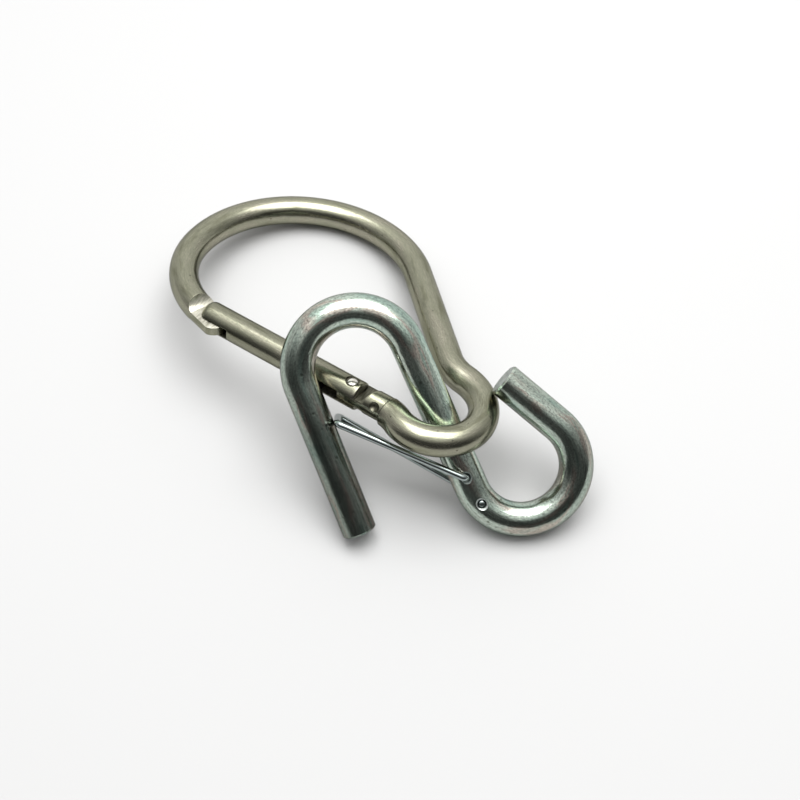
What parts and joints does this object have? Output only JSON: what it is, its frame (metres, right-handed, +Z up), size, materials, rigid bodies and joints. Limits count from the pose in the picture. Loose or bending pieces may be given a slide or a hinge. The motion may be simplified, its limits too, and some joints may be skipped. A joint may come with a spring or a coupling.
{
  "type": "safety chain hook",
  "caption": "Round-bar S-hook with a sprung wire latch, linked through its shank to a snap hook with a sprung swing gate.",
  "frame": {"origin": "on the ground under the middle of the object's bounding box", "axes": "+Z up, as the two linked hooks rest; +X towards the S-hook's open bowl, the longer way; -Y towards the viewer, +Y towards the snap hook's spine"},
  "size_m": [0.1406, 0.1372, 0.0555],
  "materials": {
    "zinc_steel": "bright zinc plate, glossy, with a faint iridescent passivation",
    "bright_wire": "bright zinc plated spring wire, mirror gloss",
    "stainless": "satin polished stainless steel, milled faces brighter",
    "stainless_pin": "turned stainless steel",
    "spring_wire": "drawn stainless spring wire"
  },
  "bodies": {
    "hook": {"s_hook": "zinc_steel", "latch_tail": "bright_wire"},
    "latch": {"latch_wire": "bright_wire"},
    "snap": {"snap_body": "stainless"},
    "gate": {"snap_gate": "stainless", "hinge_rivet": "stainless_pin", "nose_pin": "stainless_pin", "gate_spring": "spring_wire"},
    "plunger": {"gate_plunger": "stainless_pin"}
  },
  "joints": [
    {"name": "link_swing", "type": "hinge", "parent": "snap", "child": "hook", "pos_m": [0.0208, -0.03639, 0.02987], "axis": [0.9083, 0.235, 0.3462], "range_deg": [0, 60]},
    {"name": "latch_hinge", "type": "hinge", "parent": "hook", "child": "latch", "pos_m": [0.02924, -0.05016, 0.01538], "axis": [-0.0278, 0.6429, -0.7655], "range_deg": [0, 2.5], "stiffness_Nm_per_rad": 0.05, "springref_deg": -17.19},
    {"name": "gate_hinge", "type": "hinge", "parent": "snap", "child": "gate", "pos_m": [-0.00685, -0.02853, 0.03039], "axis": [-0.0938, -0.2761, -0.9565], "range_deg": [0, 32], "stiffness_Nm_per_rad": 0.1, "springref_deg": -34.38},
    {"name": "plunger_slide", "type": "slide", "parent": "gate", "child": "plunger", "axis": [-0.82, 0.5663, -0.0831], "range_m": [0, 0.0006], "deforming": ["gate_spring"]}
  ],
  "couplings": [
    {"joint": "plunger_slide", "follows": "gate_hinge", "m_per_rad": 0.001}
  ]
}
